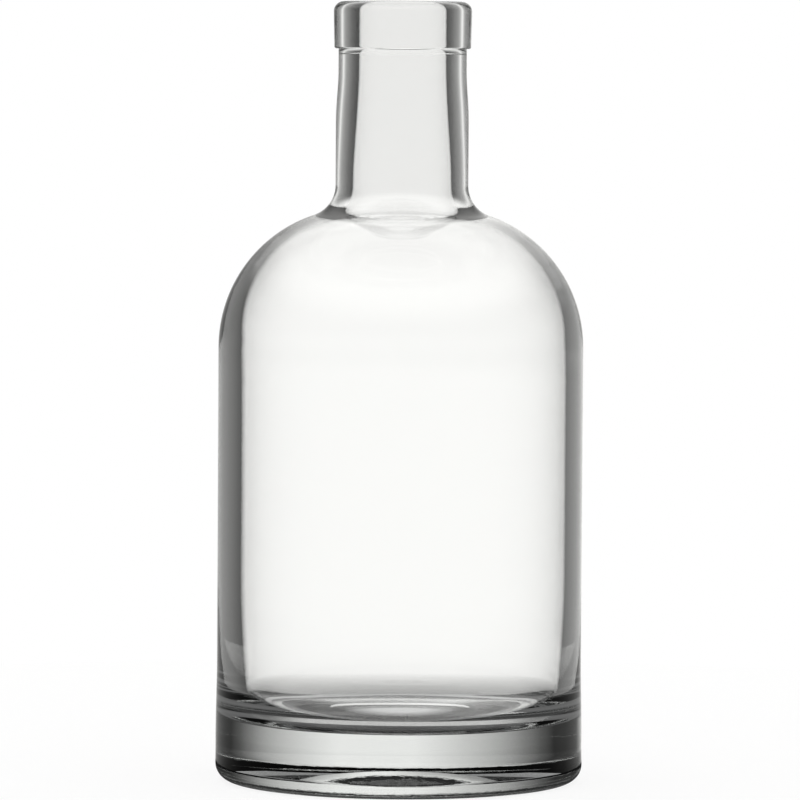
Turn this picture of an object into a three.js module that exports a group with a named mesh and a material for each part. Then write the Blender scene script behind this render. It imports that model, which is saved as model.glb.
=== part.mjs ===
// A clear glass spirit bottle with a round body, a domed shoulder, a straight neck, a banded
// mouth for a bar-top stopper and a very thick base. It is blown in one piece, so it is one
// solid of revolution about Z. Millimetres, +Z up, origin at the centre of the bearing ring.
import * as THREE from "three";

// Overall sizes. The body's side ends at BODY_TOP, where the shoulder's arc begins.
const HEIGHT = 188;
const BODY_RADIUS = 44;
const BODY_TOP = 104.8;

// Foot: a little wider than the body, with a rounded heel and a flat bearing ring.
const FOOT_FLARE = 0.3;
const FOOT_HEIGHT = 11;
const FLARE_HEIGHT = 19;
const HEEL_ROUND = 4.2;
const BEARING_WIDTH = 6.5;

// Underside: a faint cone inside the bearing ring, then a shallow domed push-up.
const CONE_RISE = 0.6;
const PUSH_UP_RADIUS = 18;
const PUSH_UP_HEIGHT = 3.6;

// Shoulder: one arc that meets the body's side, then a fillet up into the neck.
const DOME_ROUND = 33.5;
const NECK_FILLET = 7.6;

// Neck, the collar under the mouth band, and the band itself.
const NECK_RADIUS = 16;
const NECK_EASE = 16;
const COLLAR_RADIUS = 15.45;
const COLLAR_HEIGHT = 5.8;
const BAND_RADIUS = 16.65;
const BAND_DRAFT = 0.2;
const BAND_HEIGHT = 11.4;
const BAND_TOP_ROUND = 2.5;
const BAND_FOOT_ROUND = 0.5;

// Hollow: the bore, the shoulder, the side wall, and the floor over the thick base. The
// hollow's dome sits SHOULDER_LIFT higher than the outer one, so the wall thins up to the neck.
const BORE_RADIUS = 10.5;
const BORE_DEPTH = 15;
const MOUTH_ROUND = 0.9;
const NECK_FOOT_WALL = 4.1;
const INNER_FILLET = 9;
const BODY_WALL = 4.8;
const SHOULDER_LIFT = 2.2;
const BASE_THICKNESS = 14.4;
const FLOOR_ROUND = 9.5;
const TAPER_TOP = 50;
const TAPER_ROUND = 360;

const SIDES = 60;

// Points on an arc about (r, z) from one angle to another in degrees, both ends included.
function arc(r, z, radius, from, to, steps) {
  return Array.from({ length: steps + 1 }, (_, i) => {
    const angle = THREE.MathUtils.degToRad(THREE.MathUtils.lerp(from, to, i / steps));
    return new THREE.Vector2(r + radius * Math.cos(angle), z + radius * Math.sin(angle));
  });
}

// A smooth S between two points that leaves and arrives parallel to the axis.
function ease(fromR, fromZ, toR, toZ, steps) {
  return Array.from({ length: steps + 1 }, (_, i) => {
    const t = i / steps;
    const across = THREE.MathUtils.smoothstep(t, 0, 1);
    return new THREE.Vector2(
      THREE.MathUtils.lerp(fromR, toR, across),
      THREE.MathUtils.lerp(fromZ, toZ, t),
    );
  });
}

// Centre of the fillet between a neck and a dome arc about (domeR, domeZ), and the
// direction in degrees from the dome's centre to it, which passes through where they touch.
function neckJoint(neckRadius, fillet, domeR, domeZ, domeRound) {
  const across = neckRadius + fillet - domeR;
  const rise = Math.sqrt((domeRound + fillet) ** 2 - across ** 2);
  return {
    r: neckRadius + fillet,
    z: domeZ + rise,
    angle: THREE.MathUtils.radToDeg(Math.atan2(rise, across)),
  };
}

// Underside, from the centre out to the bearing ring's inner edge.
function underside() {
  const cap = PUSH_UP_HEIGHT - CONE_RISE;
  const capRound = (PUSH_UP_RADIUS ** 2 + cap ** 2) / (2 * cap);
  const edge = THREE.MathUtils.radToDeg(Math.asin(PUSH_UP_RADIUS / capRound));
  const bearingInner = BODY_RADIUS + FOOT_FLARE - HEEL_ROUND - BEARING_WIDTH;
  return [
    ...arc(0, PUSH_UP_HEIGHT - capRound, capRound, 90, 90 - edge, 6),
    new THREE.Vector2(bearingInner, 0),
  ];
}

// Outside, from the heel up to the top of the mouth.
function outside() {
  const footRadius = BODY_RADIUS + FOOT_FLARE;
  const domeR = BODY_RADIUS - DOME_ROUND;
  const joint = neckJoint(NECK_RADIUS, NECK_FILLET, domeR, BODY_TOP, DOME_ROUND);
  const bandFoot = HEIGHT - BAND_HEIGHT;
  const bandFootR = BAND_RADIUS - BAND_DRAFT - BAND_FOOT_ROUND;
  const bandTopR = BAND_RADIUS - BAND_TOP_ROUND;
  return [
    ...arc(footRadius - HEEL_ROUND, HEEL_ROUND, HEEL_ROUND, -90, 0, 5),
    ...ease(footRadius, FOOT_HEIGHT, BODY_RADIUS, FOOT_HEIGHT + FLARE_HEIGHT, 3),
    ...arc(domeR, BODY_TOP, DOME_ROUND, 0, joint.angle, 9),
    ...arc(joint.r, joint.z, NECK_FILLET, 180 + joint.angle, 180, 5).slice(1),
    ...ease(NECK_RADIUS, joint.z + NECK_EASE, COLLAR_RADIUS, bandFoot - COLLAR_HEIGHT, 2),
    new THREE.Vector2(COLLAR_RADIUS, bandFoot),
    ...arc(bandFootR, bandFoot + BAND_FOOT_ROUND, BAND_FOOT_ROUND, -90, 0, 2),
    ...arc(bandTopR, HEIGHT - BAND_TOP_ROUND, BAND_TOP_ROUND, 0, 90, 4),
  ];
}

// Inside, from the mouth down the bore, the shoulder and the side wall to the floor's middle.
function inside() {
  const wallRadius = BODY_RADIUS - BODY_WALL;
  const domeR = BODY_RADIUS - DOME_ROUND;
  const domeZ = BODY_TOP + SHOULDER_LIFT;
  const domeRound = DOME_ROUND - BODY_WALL;
  const neckFoot = NECK_RADIUS - NECK_FOOT_WALL;
  const joint = neckJoint(neckFoot, INNER_FILLET, domeR, domeZ, domeRound);
  const cornerZ = BASE_THICKNESS + FLOOR_ROUND;
  const taperR = wallRadius - TAPER_ROUND;
  const bend = Math.asin((TAPER_TOP - cornerZ) / (TAPER_ROUND - FLOOR_ROUND));
  const cornerR = taperR + (TAPER_ROUND - FLOOR_ROUND) * Math.cos(bend);
  const lean = THREE.MathUtils.radToDeg(bend);
  return [
    ...arc(BORE_RADIUS + MOUTH_ROUND, HEIGHT - MOUTH_ROUND, MOUTH_ROUND, 90, 180, 2),
    ...ease(BORE_RADIUS, HEIGHT - BORE_DEPTH, neckFoot, joint.z, 3),
    ...arc(joint.r, joint.z, INNER_FILLET, 180, 180 + joint.angle, 5).slice(1),
    ...arc(domeR, domeZ, domeRound, joint.angle, 0, 9).slice(1),
    ...arc(taperR, TAPER_TOP, TAPER_ROUND, 0, -lean, 3),
    ...arc(cornerR, cornerZ, FLOOR_ROUND, -lean, -90, 6).slice(1),
    new THREE.Vector2(0, BASE_THICKNESS),
  ];
}

const glass = new THREE.MeshStandardMaterial({
  name: "flint_glass",
  color: 0xf1f4f2,
  roughness: 0.03,
  metalness: 0,
  transparent: true,
  opacity: 0.35,
});

// LatheGeometry turns its profile about Y, so the bottle is stood up onto Z.
const profile = [...underside(), ...outside(), ...inside()];
const bottle = new THREE.Mesh(new THREE.LatheGeometry(profile, SIDES), glass);
bottle.name = "bottle";
bottle.rotation.x = Math.PI / 2;

const object = new THREE.Group();
object.add(bottle);

export default object;
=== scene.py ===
# A clear glass spirit bottle on a white bright-field set.
# The camera comes first, then the bottle and its glass, the floor, the scrim and the world.
# The named sizes below are in millimetres and the scene is in metres. Angles are in degrees.
import math

import bpy
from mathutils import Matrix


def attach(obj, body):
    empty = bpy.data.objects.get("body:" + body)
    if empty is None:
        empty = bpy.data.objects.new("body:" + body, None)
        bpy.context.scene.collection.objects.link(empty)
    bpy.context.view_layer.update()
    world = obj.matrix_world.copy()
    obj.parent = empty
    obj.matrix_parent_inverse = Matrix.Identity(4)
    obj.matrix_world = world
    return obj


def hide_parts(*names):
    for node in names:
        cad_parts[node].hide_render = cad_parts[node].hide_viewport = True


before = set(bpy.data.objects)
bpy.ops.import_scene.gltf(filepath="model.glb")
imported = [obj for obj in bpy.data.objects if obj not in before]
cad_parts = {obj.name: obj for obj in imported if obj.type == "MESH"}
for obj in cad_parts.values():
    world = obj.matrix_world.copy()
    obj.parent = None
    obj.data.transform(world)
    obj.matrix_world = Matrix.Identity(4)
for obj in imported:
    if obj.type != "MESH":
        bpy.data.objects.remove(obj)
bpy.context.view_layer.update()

MM = 0.001

# The bottle's outside.
HEIGHT = 188
BODY_RADIUS = 44
BODY_TOP = 104.8
FOOT_FLARE = 0.3
FOOT_HEIGHT = 11
FLARE_HEIGHT = 19
HEEL_ROUND = 4.2
BEARING_WIDTH = 6.5
CONE_RISE = 0.6
PUSH_UP_RADIUS = 18
PUSH_UP_HEIGHT = 3.6
DOME_ROUND = 33.5
NECK_FILLET = 7.6
NECK_RADIUS = 16
NECK_EASE = 16
COLLAR_RADIUS = 15.45
COLLAR_HEIGHT = 5.8
BAND_RADIUS = 16.65
BAND_DRAFT = 0.2
BAND_HEIGHT = 11.4
BAND_TOP_ROUND = 2.5
BAND_FOOT_ROUND = 0.5

# The hollow inside it.
BORE_RADIUS = 10.5
BORE_DEPTH = 15
MOUTH_ROUND = 0.9
NECK_FOOT_WALL = 4.1
INNER_FILLET = 9
BODY_WALL = 4.8
SHOULDER_LIFT = 2.2
BASE_THICKNESS = 14.4
FLOOR_ROUND = 9.5
TAPER_TOP = 50
TAPER_ROUND = 360

# What the blowing leaves: from ASIDE_TOP down to ASIDE_FOOT the hollow comes to stand a little
# aside, in small steps.
HOLLOW_ASIDE = 0.55
ASIDE_TOP = 130
ASIDE_FOOT = 96
ASIDE_STEPS = 12

# A surface inside the glass, between the outside and the hollow, that tells the two apart.
MID_FLOOR = 14.3
MID_WALL = 41.6
MID_DOME_ROUND = 31
MID_DOME_Z = 106
MID_NECK = 14.8

# Faint waves of the blown walls, drawn out along the axis.
WAVE_SIZE = 17
WAVE_HEIGHT = 0.03
WAVE_STRETCH = 0.3
WAVE_DETAIL = 1.0
WAVE_ROUGHNESS = 0.4

# Pebbles where the cold mould pressed the underside, up to PEBBLE_TOP on the heel and all
# over the push-up, with a little to spare round it.
PEBBLE_SIZE = 1.6
PEBBLE_HEIGHT = 0.06
PEBBLE_DETAIL = 2.0
PEBBLE_ROUGHNESS = 0.5
PEBBLE_TOP = 1.9
PEBBLE_MARGIN = 1

# Two small plain rings that the mould leaves under the base. The skin is divided by RING_CUTS
# to RING_MARGIN round a ring, which is pressed in equal steps over shares of its width.
RING_X = 2.1
RING_MIDDLE_X = 0.4
RING_Y = -14.6
RING_RADIUS = 1.05
RING_WIDTH = 0.7
RING_DEPTH = 0.33
RING_CUTS = 4
RING_MARGIN = 1
RING_SHARES = (1.0, 0.7, 0.4)

# Flint glass.
GLASS_INDEX = 1.52
GLASS_BODY = "#DEE0DF"
GLASS_DENSITY = 14.0

# The camera stands far off and looks slightly down.
CAMERA_DISTANCE = 1488
CAMERA_HEIGHT = 173.9
CAMERA_PITCH = 3.15
CAMERA_ROLL = -0.35
CAMERA_SIDE = -0.66
CAMERA_LENS = 278
CAMERA_SENSOR = 36
CAMERA_NEAR = 50
CAMERA_FAR = 20000

# How finely the bottle is turned: steps round the axis, the longest step along the wall, and
# how near each other the points are that become one.
TURN_STEPS = 192
LONGEST_STEP = 1.5
MERGE_REACH = 0.01

# The set is a white floor and a white world. What the glass sees of them is graded apart from
# what the camera sees, by bearing, by height and by the ray's way through the glass.
# The floor and the scrim are circles of SET_SIDES.
SET_SIDES = 96
FLOOR_RADIUS = 300
FLOOR_PAPER = "#F0F0EF"
FLOOR_GLOW = 1.06
FLOOR_GLOW_SHARE = 0.8
ROOM_LIGHT = "#EEEEEE"
LIGHT_LEVEL = 1.18
LIGHT_TINT = "#FFFFFD"

# Flags stand near the horizon and fade out above FLAG_TOP and below FLAG_FOOT.
FLAG_TOP = 14
FLAG_TOP_END = 38
FLAG_FOOT = -20
FLAG_FOOT_END = -60

# The table darkens slowly with steepness, from TABLE_START down to TABLE_END.
TABLE_LEVEL = 0.62
TABLE_START = -7
TABLE_END = -60

# Limits between whole counts: a straight ray is reflected nowhere in the glass, a lost one
# twice or more, and a ray through two thin walls has passed four surfaces or more.
STRAIGHT_BELOW = 0.5
LOST_ABOVE = 1.5
THIN_ABOVE = 3.5

# Lost rays are dimmed to LOST_LEVEL where they leave steeper than LOST_STEEP, and where they
# cross the scrim lower than LOST_FOOT.
LOST_LEVEL = 0.08
LOST_STEEP = 60
LOST_STEEP_END = 70
LOST_FOOT = 100
LOST_TOP = 118

# The scrim stands round the bottle. It begins to take light off at the height SCRIM_START and
# lets SCRIM_LEVEL of it through from SCRIM_END up.
SCRIM_RADIUS = 120
SCRIM_HEIGHT = 260
SCRIM_START = 92
SCRIM_END = 126
SCRIM_LEVEL = 0.845

# A straight ray that leaves past these bearings belongs to a view from another side, so it
# meets white light in place of a flag.
BACK_START = 75
BACK_END = 95

# The floor under the bottle as the glass sees it: a painted shadow with painted light in its
# middle, given as brightness by distance from the axis, out to CONTACT_RADIUS for straight rays
# and to REFLECTED_RADIUS for reflected ones. Beyond that it is a veil, a painted shadow round
# the bottle, that lets CONTACT_LIT of the light through, and all of it from CONTACT_END on.
CONTACT_RADIUS = 46
CONTACT_END = 90
CONTACT_LIT = 0.56
REFLECTED_RADIUS = 64
# Painted shadow under the bottle for straight rays: lighter in the middle, dark in a ring under
# the push-up's edge, lighter again outwards.
PAINTED_FLOOR_SHADE_STOPS = [
    (0, 0.68),
    (7, 0.66),
    (16, 0.04),
    (25, 0.03),
    (29, 0.32),
    (35, 0.36),
    (46, 0.6),
]
# Painted shadow under the bottle for rays reflected inside the glass: nearly black, a little
# lighter in a ring.
REFLECTED_PAINTED_SHADE_STOPS = [
    (0, 0.02),
    (24, 0.02),
    (32, 0.12),
    (38, 0.16),
    (42, 0.05),
    (46, 0.03),
]

# Brightness by angle to either side of a middle bearing: FLAG_STOPS for straight rays, and
# WALL_STOPS for rays reflected inside the wall.
LIGHT_BEARING = 5
FLAG_STOPS = [
    (8, "#FFFFFF"),
    (12, "#F3F3F3"),
    (19, "#DADADA"),
    (28, "#B8B8B8"),
    (37, "#878787"),
    (44, "#5F5F5F"),
    (52, "#313131"),
]
WALL_BEARING = 4
WALL_STOPS = [
    (2, "#FFFFFF"),
    (8, "#CFCFCF"),
    (17, "#A0A0A0"),
    (26, "#8C8C8C"),
    (37, "#787878"),
    (47, "#606060"),
    (65, "#404040"),
    (180, "#303030"),
]


def linear(code):
    """An sRGB hex colour as the linear values that the shaders take."""
    channels = [int(code[i : i + 2], 16) / 255 for i in (1, 3, 5)]
    curve = [c / 12.92 if c <= 0.04045 else ((c + 0.055) / 1.055) ** 2.4 for c in channels]
    return (*curve, 1.0)


def add_node(tree, kind, settings=None, links=None):
    """Adds a node, sets its ramp's stops, properties and sockets, and links its inputs."""
    node = tree.nodes.new(kind)
    for name, value in (settings or {}).items():
        if name == "stops":
            line = node.color_ramp.elements
            while len(line) < len(value):
                line.new(1)
            for element, (place, colour) in zip(line, value):
                element.position = place
                element.color = colour
        elif isinstance(name, int) or name in node.inputs:
            node.inputs[name].default_value = value
        else:
            setattr(node, name, value)
    for name, source in (links or {}).items():
        tree.links.new(source, node.inputs[name])
    return node


def arc(r, z, radius, start, end, steps):
    """Points on an arc about (r, z), from one angle to another in degrees."""
    points = []
    for i in range(steps + 1):
        angle = math.radians(start + (end - start) * i / steps)
        points.append((r + radius * math.cos(angle), z + radius * math.sin(angle)))
    return points


def ease(from_r, from_z, to_r, to_z, steps):
    """A smooth S that leaves and arrives parallel to the axis."""
    points = []
    for i in range(steps + 1):
        t = i / steps
        across = t * t * (3 - 2 * t)
        points.append((from_r + (to_r - from_r) * across, from_z + (to_z - from_z) * t))
    return points


def neck_joint(neck_radius, fillet, dome_r, dome_z, dome_round):
    """Centre of the fillet between neck and dome, and the direction where they touch."""
    across = neck_radius + fillet - dome_r
    rise = math.sqrt((dome_round + fillet) ** 2 - across**2)
    return neck_radius + fillet, dome_z + rise, math.degrees(math.atan2(rise, across))


def underside():
    """From the centre out to the bearing ring's inner edge."""
    cap = PUSH_UP_HEIGHT - CONE_RISE
    cap_round = (PUSH_UP_RADIUS**2 + cap**2) / (2 * cap)
    edge = math.degrees(math.asin(PUSH_UP_RADIUS / cap_round))
    bearing_inner = BODY_RADIUS + FOOT_FLARE - HEEL_ROUND - BEARING_WIDTH
    dome = arc(0, PUSH_UP_HEIGHT - cap_round, cap_round, 90, 90 - edge, steps=24)
    return dome + [(bearing_inner, 0)]


def outside():
    """From the heel up to the top of the mouth."""
    foot = BODY_RADIUS + FOOT_FLARE
    dome_r = BODY_RADIUS - DOME_ROUND
    joint = neck_joint(NECK_RADIUS, NECK_FILLET, dome_r, BODY_TOP, DOME_ROUND)
    joint_r, joint_z, angle = joint
    band_foot = HEIGHT - BAND_HEIGHT
    band_foot_r = BAND_RADIUS - BAND_DRAFT - BAND_FOOT_ROUND
    band_top_r = BAND_RADIUS - BAND_TOP_ROUND
    collar = (COLLAR_RADIUS, band_foot - COLLAR_HEIGHT)
    return (
        arc(foot - HEEL_ROUND, HEEL_ROUND, HEEL_ROUND, -90, 0, steps=16)
        + ease(foot, FOOT_HEIGHT, BODY_RADIUS, FOOT_HEIGHT + FLARE_HEIGHT, steps=10)
        + arc(dome_r, BODY_TOP, DOME_ROUND, 0, angle, steps=32)
        + arc(joint_r, joint_z, NECK_FILLET, 180 + angle, 180, steps=14)[1:]
        + ease(NECK_RADIUS, joint_z + NECK_EASE, *collar, steps=8)
        + [(COLLAR_RADIUS, band_foot)]
        + arc(band_foot_r, band_foot + BAND_FOOT_ROUND, BAND_FOOT_ROUND, -90, 0, steps=8)
        + arc(band_top_r, HEIGHT - BAND_TOP_ROUND, BAND_TOP_ROUND, 0, 90, steps=16)
    )


def inside():
    """From the mouth down the bore, the shoulder and the side wall to the floor's middle."""
    wall = BODY_RADIUS - BODY_WALL
    dome_r = BODY_RADIUS - DOME_ROUND
    dome_round = DOME_ROUND - BODY_WALL
    neck_foot = NECK_RADIUS - NECK_FOOT_WALL
    dome_z = BODY_TOP + SHOULDER_LIFT
    joint = neck_joint(neck_foot, INNER_FILLET, dome_r, dome_z, dome_round)
    joint_r, joint_z, angle = joint
    corner_z = BASE_THICKNESS + FLOOR_ROUND
    taper_r = wall - TAPER_ROUND
    bend = math.asin((TAPER_TOP - corner_z) / (TAPER_ROUND - FLOOR_ROUND))
    corner_r = taper_r + (TAPER_ROUND - FLOOR_ROUND) * math.cos(bend)
    lean = math.degrees(bend)
    return (
        arc(BORE_RADIUS + MOUTH_ROUND, HEIGHT - MOUTH_ROUND, MOUTH_ROUND, 90, 180, steps=8)
        + ease(BORE_RADIUS, HEIGHT - BORE_DEPTH, neck_foot, joint_z, steps=8)
        + arc(joint_r, joint_z, INNER_FILLET, 180, 180 + angle, steps=14)[1:]
        + arc(dome_r, dome_z, dome_round, angle, 0, steps=28)[1:]
        + arc(taper_r, TAPER_TOP, TAPER_ROUND, 0, -lean, steps=14)
        + arc(corner_r, corner_z, FLOOR_ROUND, -lean, -90, steps=16)[1:]
        + [(0, BASE_THICKNESS)]
    )


def stretched(profile):
    """The profile with its long stretches divided, so that the smooth shading stays true."""
    points = [profile[0]]
    for (r0, z0), (r1, z1) in zip(profile, profile[1:]):
        pieces = max(1, math.ceil(math.hypot(r1 - r0, z1 - z0) / LONGEST_STEP))
        for i in range(1, pieces + 1):
            points.append((r0 + (r1 - r0) * i / pieces, z0 + (z1 - z0) * i / pieces))
    return points


def turned(name, profile):
    """One corner of a plane is drawn out along a profile and spun about the axis."""
    bpy.ops.object.select_all(action="DESELECT")
    start = profile[0]
    bpy.ops.mesh.primitive_plane_add(size=MM, location=(start[0] * MM, 0, start[1] * MM))
    piece = bpy.context.object
    piece.name = name
    piece.data.name = name
    bpy.ops.object.transform_apply(location=True, rotation=False, scale=False)
    bpy.ops.object.mode_set(mode="EDIT")
    bpy.ops.mesh.select_all(action="SELECT")
    bpy.ops.mesh.merge(type="CENTER")
    for here, there in zip(profile, profile[1:]):
        step = ((there[0] - here[0]) * MM, 0, (there[1] - here[1]) * MM)
        bpy.ops.mesh.extrude_vertices_move(TRANSFORM_OT_translate={"value": step})
    bpy.ops.mesh.select_all(action="SELECT")
    bpy.ops.mesh.spin(
        steps=TURN_STEPS, angle=math.tau, center=(0, 0, 0), axis=(0, 0, 1), use_auto_merge=True
    )
    bpy.ops.mesh.select_all(action="SELECT")
    bpy.ops.mesh.remove_doubles(threshold=MERGE_REACH * MM)
    bpy.ops.mesh.normals_make_consistent(inside=False)
    bpy.ops.object.mode_set(mode="OBJECT")
    bpy.ops.object.shade_smooth()
    return piece


def hollow_side(spot):
    """Whether a point in metres lies on the hollow's wall, below the bore."""
    z = spot.z / MM
    r = math.hypot(spot.x, spot.y) / MM
    if z < MID_FLOOR or z > ASIDE_TOP:
        return False
    rise = max(0, z - MID_DOME_Z)
    dome = BODY_RADIUS - DOME_ROUND + math.sqrt(max(0, MID_DOME_ROUND**2 - rise**2))
    return r < min(MID_WALL, max(dome, MID_NECK))


def select_spots(piece, wanted):
    """Selects, in edit mode, the vertices whose place is wanted."""
    bpy.ops.mesh.select_all(action="DESELECT")
    bpy.ops.object.mode_set(mode="OBJECT")
    for vertex in piece.data.vertices:
        vertex.select = wanted(vertex.co)
    bpy.ops.object.mode_set(mode="EDIT")


def set_hollow_aside(piece):
    """Moves the hollow's wall to one side, a little more at each level down the shoulder."""
    bpy.ops.object.mode_set(mode="EDIT")
    bpy.ops.mesh.select_mode(type="VERT")
    for i in range(ASIDE_STEPS):
        level = ASIDE_TOP + (ASIDE_FOOT - ASIDE_TOP) * i / ASIDE_STEPS
        select_spots(piece, lambda spot: spot.z < level * MM and hollow_side(spot))
        step = (HOLLOW_ASIDE / ASIDE_STEPS * MM, 0, 0)
        bpy.ops.transform.translate(value=step)
    bpy.ops.object.mode_set(mode="OBJECT")


def press_ring(piece, x):
    """Divides the push-up's skin about one mark and presses a rounded ring out of it."""

    def off_centre(spot):
        return math.hypot(spot.x / MM - x, spot.y / MM - RING_Y)

    top = PUSH_UP_HEIGHT * MM
    reach = RING_RADIUS + RING_WIDTH + RING_MARGIN
    bpy.ops.object.mode_set(mode="EDIT")
    bpy.ops.mesh.select_mode(type="VERT")
    select_spots(piece, lambda spot: spot.z < top and off_centre(spot) < reach)
    bpy.ops.mesh.subdivide(number_cuts=RING_CUTS)
    for share in RING_SHARES:
        half = RING_WIDTH / 2 * share
        select_spots(
            piece,
            lambda spot: spot.z < top and abs(off_centre(spot) - RING_RADIUS) < half,
        )
        bpy.ops.transform.translate(value=(0, 0, -RING_DEPTH / len(RING_SHARES) * MM))
    bpy.ops.object.mode_set(mode="OBJECT")


def blown_skin(tree):
    """The normal of the blown wall: long faint waves, and pebbles on the underside."""
    place = add_node(tree, "ShaderNodeTexCoord")
    drawn = add_node(
        tree,
        "ShaderNodeVectorMath",
        {"operation": "MULTIPLY", 1: (1, 1, WAVE_STRETCH)},
        {0: place.outputs["Object"]},
    )
    waves = add_node(
        tree,
        "ShaderNodeTexNoise",
        {
            "Scale": 1 / (WAVE_SIZE * MM),
            "Detail": WAVE_DETAIL,
            "Roughness": WAVE_ROUGHNESS,
        },
        {"Vector": drawn.outputs["Vector"]},
    )
    wavy = add_node(
        tree,
        "ShaderNodeBump",
        {"Strength": 1.0, "Distance": WAVE_HEIGHT * MM},
        {"Height": waves.outputs["Fac"]},
    )
    pebbles = add_node(
        tree,
        "ShaderNodeTexNoise",
        {
            "Scale": 1 / (PEBBLE_SIZE * MM),
            "Detail": PEBBLE_DETAIL,
            "Roughness": PEBBLE_ROUGHNESS,
        },
        {"Vector": place.outputs["Object"]},
    )
    split = add_node(tree, "ShaderNodeSeparateXYZ", links={"Vector": place.outputs["Object"]})
    flat = add_node(
        tree,
        "ShaderNodeVectorMath",
        {"operation": "MULTIPLY", 1: (1, 1, 0)},
        {0: place.outputs["Object"]},
    )
    away = add_node(
        tree, "ShaderNodeVectorMath", {"operation": "LENGTH"}, {0: flat.outputs["Vector"]}
    )
    top = add_node(
        tree,
        "ShaderNodeMapRange",
        {
            "From Min": (PUSH_UP_RADIUS + PEBBLE_MARGIN) * MM,
            "From Max": (PUSH_UP_RADIUS - PEBBLE_MARGIN) * MM,
            "To Min": PEBBLE_TOP * MM,
            "To Max": (PUSH_UP_HEIGHT + PEBBLE_MARGIN) * MM,
        },
        {"Value": away.outputs["Value"]},
    )
    pressed = add_node(
        tree,
        "ShaderNodeMath",
        {"operation": "LESS_THAN"},
        {0: split.outputs["Z"], 1: top.outputs["Result"]},
    )
    pebbled = add_node(
        tree,
        "ShaderNodeBump",
        {"Distance": PEBBLE_HEIGHT * MM},
        {
            "Strength": pressed.outputs[0],
            "Height": pebbles.outputs["Fac"],
            "Normal": wavy.outputs["Normal"],
        },
    )
    return pebbled.outputs["Normal"]


def flint_glass():
    """Flint glass, blown and fire-polished: clear and sharp, a little grey where it is thick."""
    material = bpy.data.materials.new("flint_glass_blown")
    material.use_nodes = True
    tree = material.node_tree
    tree.nodes.clear()
    surface = add_node(
        tree,
        "ShaderNodeBsdfPrincipled",
        {
            "Base Color": (1, 1, 1, 1),
            "Roughness": 0.0,
            "IOR": GLASS_INDEX,
            "Transmission Weight": 1.0,
        },
        {"Normal": blown_skin(tree)},
    )
    body = add_node(
        tree,
        "ShaderNodeVolumeAbsorption",
        {"Color": linear(GLASS_BODY), "Density": GLASS_DENSITY},
    )
    add_node(
        tree,
        "ShaderNodeOutputMaterial",
        links={"Surface": surface.outputs["BSDF"], "Volume": body.outputs["Volume"]},
    )
    return material


def glass_paths(tree):
    """Rays straight through the glass, those through two thin walls, and the lost ones."""
    paths = add_node(tree, "ShaderNodeLightPath")
    straight = add_node(
        tree,
        "ShaderNodeMath",
        {"operation": "LESS_THAN", 1: STRAIGHT_BELOW},
        {0: paths.outputs["Glossy Depth"]},
    )
    walls = add_node(
        tree,
        "ShaderNodeMath",
        {"operation": "GREATER_THAN", 1: THIN_ABOVE},
        {0: paths.outputs["Transmission Depth"]},
    )
    thin = add_node(
        tree,
        "ShaderNodeMath",
        {"operation": "MULTIPLY"},
        {0: straight.outputs[0], 1: walls.outputs[0]},
    )
    lost = add_node(
        tree,
        "ShaderNodeMath",
        {"operation": "GREATER_THAN", 1: LOST_ABOVE},
        {0: paths.outputs["Glossy Depth"]},
    )
    return straight.outputs[0], thin.outputs[0], lost.outputs[0]


def eased(start, end, low=0.0, high=1.0):
    """Settings of a level that eases from low to high while an angle runs from start to end."""
    flip = start > end
    return {
        "interpolation_type": "SMOOTHSTEP",
        "From Min": math.radians(min(start, end)),
        "From Max": math.radians(max(start, end)),
        "To Min": high if flip else low,
        "To Max": low if flip else high,
    }


def ramp_aside(tree, bearing, centre, stops):
    """Greys that run both ways from the centre's bearing, and the angle away from it."""
    centred = add_node(
        tree,
        "ShaderNodeMath",
        {"operation": "SUBTRACT", 1: math.radians(centre)},
        {0: bearing},
    )
    aside = add_node(
        tree, "ShaderNodeMath", {"operation": "ABSOLUTE"}, {0: centred.outputs[0]}
    )
    share = add_node(
        tree, "ShaderNodeMath", {"operation": "DIVIDE", 1: math.pi}, {0: aside.outputs[0]}
    )
    ramp = add_node(
        tree,
        "ShaderNodeValToRGB",
        {"stops": [(degrees / 180, linear(code)) for degrees, code in stops]},
        {"Fac": share.outputs[0]},
    )
    return ramp.outputs["Color"], aside.outputs[0]


def side_flags(tree, x, y):
    """What the glass sees by bearing: white behind the bottle, dark flags out to its sides."""
    bearing = add_node(tree, "ShaderNodeMath", {"operation": "ARCTAN2"}, {0: x, 1: y})
    flags, aside = ramp_aside(tree, bearing.outputs[0], LIGHT_BEARING, FLAG_STOPS)
    wall_flags, _ = ramp_aside(tree, bearing.outputs[0], WALL_BEARING, WALL_STOPS)
    straight, thin, lost = glass_paths(tree)
    dark = add_node(
        tree,
        "ShaderNodeMix",
        {"data_type": "RGBA"},
        {0: straight, 6: wall_flags, 7: flags},
    )
    back = add_node(
        tree, "ShaderNodeMapRange", eased(BACK_START, BACK_END), {"Value": aside}
    )
    behind = add_node(
        tree,
        "ShaderNodeMath",
        {"operation": "MULTIPLY"},
        {0: straight, 1: back.outputs["Result"]},
    )
    open_light = add_node(
        tree, "ShaderNodeMath", {"operation": "MAXIMUM"}, {0: behind.outputs[0], 1: thin}
    )
    unflagged = add_node(
        tree, "ShaderNodeMath", {"operation": "MAXIMUM"}, {0: open_light.outputs[0], 1: lost}
    )
    light = add_node(
        tree,
        "ShaderNodeMix",
        {"data_type": "RGBA", 7: (1, 1, 1, 1)},
        {0: unflagged.outputs[0], 6: dark.outputs[2]},
    )
    return light.outputs[2]


def seen_through_glass(tree):
    """Which rays see the set itself, and whether they come by way of the glass."""
    paths = add_node(tree, "ShaderNodeLightPath")
    glass = add_node(
        tree,
        "ShaderNodeMath",
        {"operation": "MAXIMUM"},
        {0: paths.outputs["Is Glossy Ray"], 1: paths.outputs["Is Transmission Ray"]},
    )
    return paths.outputs["Is Camera Ray"], glass.outputs[0]


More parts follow.
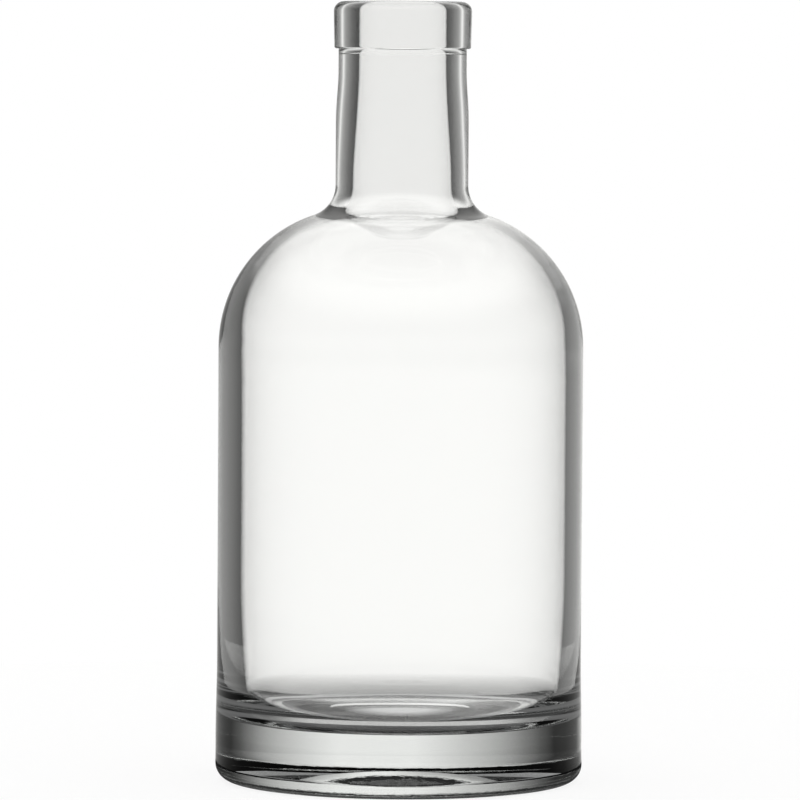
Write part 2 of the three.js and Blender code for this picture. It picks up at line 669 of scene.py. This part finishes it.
def outward(stops):
    """Stops by radius as stops of a ramp that ends at CONTACT_RADIUS."""
    return [(radius / CONTACT_RADIUS, (level, level, level, 1)) for radius, level in stops]


def white_floor():
    """White background paper, matt: white to the camera, but for the bottle's shadow. To the
    glass it shows a painted shadow under and round the bottle.
    """
    material = bpy.data.materials.new("white_sweep_matt")
    material.use_nodes = True
    tree = material.node_tree
    tree.nodes.clear()
    camera_ray, glass_ray = seen_through_glass(tree)
    place = add_node(tree, "ShaderNodeTexCoord")
    away = add_node(
        tree,
        "ShaderNodeVectorMath",
        {"operation": "LENGTH"},
        {0: place.outputs["Object"]},
    )
    straight, _, _ = glass_paths(tree)
    reach = add_node(
        tree,
        "ShaderNodeMapRange",
        {"To Min": REFLECTED_RADIUS * MM, "To Max": CONTACT_RADIUS * MM},
        {"Value": straight},
    )
    clear = add_node(
        tree,
        "ShaderNodeMath",
        {"operation": "GREATER_THAN"},
        {0: away.outputs["Value"], 1: reach.outputs["Result"]},
    )
    spread = add_node(
        tree,
        "ShaderNodeMath",
        {"operation": "DIVIDE", 1: CONTACT_RADIUS * MM},
        {0: away.outputs["Value"]},
    )
    # Painted shade under the bottle for straight rays, by distance from the axis.
    straight_painted_shade = add_node(
        tree,
        "ShaderNodeValToRGB",
        {"stops": outward(PAINTED_FLOOR_SHADE_STOPS)},
        {"Fac": spread.outputs[0]},
    )
    # Painted shade under the bottle for rays reflected inside the glass.
    reflected = add_node(
        tree,
        "ShaderNodeValToRGB",
        {"stops": outward(REFLECTED_PAINTED_SHADE_STOPS)},
        {"Fac": spread.outputs[0]},
    )
    # A painted shadow round the bottle: near it the floor lets only part of the light behind it
    # through.
    veil = add_node(
        tree,
        "ShaderNodeMapRange",
        {
            "From Min": CONTACT_RADIUS * MM,
            "From Max": CONTACT_END * MM,
            "To Min": CONTACT_LIT,
        },
        {"Value": away.outputs["Value"]},
    )
    painted_shadow_veil = add_node(
        tree, "ShaderNodeBsdfTransparent", links={"Color": veil.outputs["Result"]}
    )
    painted_shade_level = add_node(
        tree,
        "ShaderNodeMapRange",
        links={
            "Value": straight,
            "To Min": reflected.outputs["Color"],
            "To Max": straight_painted_shade.outputs["Color"],
        },
    )
    # The painted shadow and light under the bottle are shown as a glow of the floor.
    painted_shade_glow = add_node(tree, "ShaderNodeEmission", links={"Strength": painted_shade_level.outputs["Result"]})
    through = add_node(
        tree,
        "ShaderNodeMixShader",
        links={
            0: clear.outputs[0],
            1: painted_shade_glow.outputs["Emission"],
            2: painted_shadow_veil.outputs["BSDF"],
        },
    )
    white = add_node(tree, "ShaderNodeEmission", {"Strength": FLOOR_GLOW})
    paper = add_node(tree, "ShaderNodeBsdfDiffuse", {"Color": linear(FLOOR_PAPER)})
    camera_share = add_node(
        tree, "ShaderNodeMath", {"operation": "MULTIPLY", 1: FLOOR_GLOW_SHARE}, {0: camera_ray}
    )
    seen = add_node(
        tree,
        "ShaderNodeMixShader",
        links={
            0: camera_share.outputs[0],
            1: paper.outputs["BSDF"],
            2: white.outputs["Emission"],
        },
    )
    surface = add_node(
        tree,
        "ShaderNodeMixShader",
        links={0: glass_ray, 1: seen.outputs["Shader"], 2: through.outputs["Shader"]},
    )
    add_node(tree, "ShaderNodeOutputMaterial", links={"Surface": surface.outputs["Shader"]})
    return material


def scrim_net():
    """Graded net of a lighting scrim: it dims what is seen through the shoulder and neck."""
    material = bpy.data.materials.new("graded_scrim_net")
    material.use_nodes = True
    tree = material.node_tree
    tree.nodes.clear()
    _, glass_ray = seen_through_glass(tree)
    place = add_node(tree, "ShaderNodeTexCoord")
    split = add_node(tree, "ShaderNodeSeparateXYZ", links={"Vector": place.outputs["Object"]})
    tint = add_node(
        tree,
        "ShaderNodeMapRange",
        {
            "From Min": SCRIM_START * MM,
            "From Max": SCRIM_END * MM,
            "To Min": 1.0,
            "To Max": SCRIM_LEVEL,
        },
        {"Value": split.outputs["Z"]},
    )
    _, _, lost = glass_paths(tree)
    rise = add_node(
        tree,
        "ShaderNodeMapRange",
        {"From Min": LOST_FOOT * MM, "From Max": LOST_TOP * MM, "To Min": LOST_LEVEL},
        {"Value": split.outputs["Z"]},
    )
    kept = add_node(
        tree, "ShaderNodeMapRange", {"To Min": 1.0}, {"Value": lost, "To Max": rise.outputs[0]}
    )
    both = add_node(
        tree,
        "ShaderNodeMath",
        {"operation": "MULTIPLY"},
        {0: tint.outputs["Result"], 1: kept.outputs["Result"]},
    )
    shade = add_node(
        tree,
        "ShaderNodeMix",
        {"data_type": "RGBA", 6: (1, 1, 1, 1)},
        {0: glass_ray, 7: both.outputs[0]},
    )
    net = add_node(tree, "ShaderNodeBsdfTransparent", links={"Color": shade.outputs[2]})
    add_node(tree, "ShaderNodeOutputMaterial", links={"Surface": net.outputs["BSDF"]})
    return material


def bright_field_world():
    """White to the camera, graded to the glass, and plain soft light to all the rest."""
    world = bpy.data.worlds.new("bright_field_set")
    bpy.context.scene.world = world
    world.use_nodes = True
    tree = world.node_tree
    tree.nodes.clear()
    camera_ray, glass_ray = seen_through_glass(tree)
    place = add_node(tree, "ShaderNodeTexCoord")
    split = add_node(
        tree, "ShaderNodeSeparateXYZ", links={"Vector": place.outputs["Generated"]}
    )
    set_light = side_flags(tree, split.outputs["X"], split.outputs["Y"])
    height = add_node(
        tree, "ShaderNodeMath", {"operation": "ARCSINE"}, {0: split.outputs["Z"]}
    )
    above = add_node(
        tree,
        "ShaderNodeMapRange",
        eased(FLAG_TOP, FLAG_TOP_END),
        {"Value": height.outputs[0]},
    )
    below = add_node(
        tree,
        "ShaderNodeMapRange",
        eased(FLAG_FOOT, FLAG_FOOT_END),
        {"Value": height.outputs[0]},
    )
    past = add_node(
        tree,
        "ShaderNodeMath",
        {"operation": "MAXIMUM"},
        {0: above.outputs["Result"], 1: below.outputs["Result"]},
    )
    round_about = add_node(
        tree,
        "ShaderNodeMix",
        {"data_type": "RGBA", 7: (1, 1, 1, 1)},
        {0: past.outputs[0], 6: set_light},
    )
    tinted = add_node(
        tree,
        "ShaderNodeMix",
        {"data_type": "RGBA", "blend_type": "MULTIPLY", 0: 1.0, 7: linear(LIGHT_TINT)},
        {6: round_about.outputs[2]},
    )
    table = add_node(
        tree,
        "ShaderNodeMapRange",
        {
            "From Min": math.radians(TABLE_END),
            "From Max": math.radians(TABLE_START),
            "To Min": TABLE_LEVEL,
            "To Max": 1.0,
        },
        {"Value": height.outputs[0]},
    )
    _, _, lost = glass_paths(tree)
    steep = add_node(
        tree,
        "ShaderNodeMapRange",
        eased(LOST_STEEP, LOST_STEEP_END, 1.0, LOST_LEVEL),
        {"Value": height.outputs[0]},
    )
    kept = add_node(
        tree,
        "ShaderNodeMapRange",
        {"To Min": 1.0},
        {"Value": lost, "To Max": steep.outputs["Result"]},
    )
    share = add_node(
        tree,
        "ShaderNodeMath",
        {"operation": "MULTIPLY"},
        {0: table.outputs["Result"], 1: kept.outputs["Result"]},
    )
    field = add_node(
        tree,
        "ShaderNodeMix",
        {"data_type": "RGBA", 6: (0, 0, 0, 1)},
        {0: share.outputs[0], 7: tinted.outputs[2]},
    )
    plain = add_node(
        tree,
        "ShaderNodeMix",
        {"data_type": "RGBA", 6: linear(ROOM_LIGHT), 7: (1, 1, 1, 1)},
        {0: camera_ray},
    )
    colour = add_node(
        tree,
        "ShaderNodeMix",
        {"data_type": "RGBA"},
        {0: glass_ray, 6: plain.outputs[2], 7: field.outputs[2]},
    )
    level = add_node(
        tree,
        "ShaderNodeMapRange",
        {"To Min": 1.0, "To Max": LIGHT_LEVEL},
        {"Value": glass_ray},
    )
    sky = add_node(
        tree,
        "ShaderNodeBackground",
        links={"Color": colour.outputs[2], "Strength": level.outputs["Result"]},
    )
    add_node(tree, "ShaderNodeOutputWorld", links={"Surface": sky.outputs["Background"]})


def camera():
    """A long lens at the photo's height and angle."""
    data = bpy.data.cameras.new("camera")
    data.lens = CAMERA_LENS
    data.sensor_width = CAMERA_SENSOR
    data.clip_start = CAMERA_NEAR * MM
    data.clip_end = CAMERA_FAR * MM
    stand = bpy.data.objects.new("camera", data)
    bpy.context.scene.collection.objects.link(stand)
    stand.rotation_euler = (
        math.radians(90 - CAMERA_PITCH),
        math.radians(CAMERA_ROLL),
        0,
    )
    stand.location = (CAMERA_SIDE * MM, -CAMERA_DISTANCE * MM, CAMERA_HEIGHT * MM)
    bpy.context.scene.camera = stand


camera()

bottle = turned("bottle_glass", stretched(underside() + outside() + inside()))
set_hollow_aside(bottle)
for side in (-1, 1):
    press_ring(bottle, RING_MIDDLE_X + side * RING_X)
bottle.data.materials.clear()
bottle.data.materials.append(flint_glass())
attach(bottle, "root")
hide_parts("bottle")

bpy.ops.object.select_all(action="DESELECT")
bpy.ops.mesh.primitive_circle_add(
    vertices=SET_SIDES, radius=FLOOR_RADIUS * MM, fill_type="TRIFAN", location=(0, 0, 0)
)
floor = bpy.context.object
floor.name = "floor"
floor.data.materials.append(white_floor())

bpy.ops.object.select_all(action="DESELECT")
bpy.ops.mesh.primitive_cylinder_add(
    vertices=SET_SIDES,
    radius=SCRIM_RADIUS * MM,
    depth=SCRIM_HEIGHT * MM,
    end_fill_type="NOTHING",
    location=(0, 0, SCRIM_HEIGHT / 2 * MM),
)
scrim = bpy.context.object
scrim.name = "scrim"
bpy.ops.object.transform_apply(location=True, rotation=False, scale=False)
scrim.data.materials.append(scrim_net())

bright_field_world()

bpy.context.scene.view_settings.view_transform = "Standard"
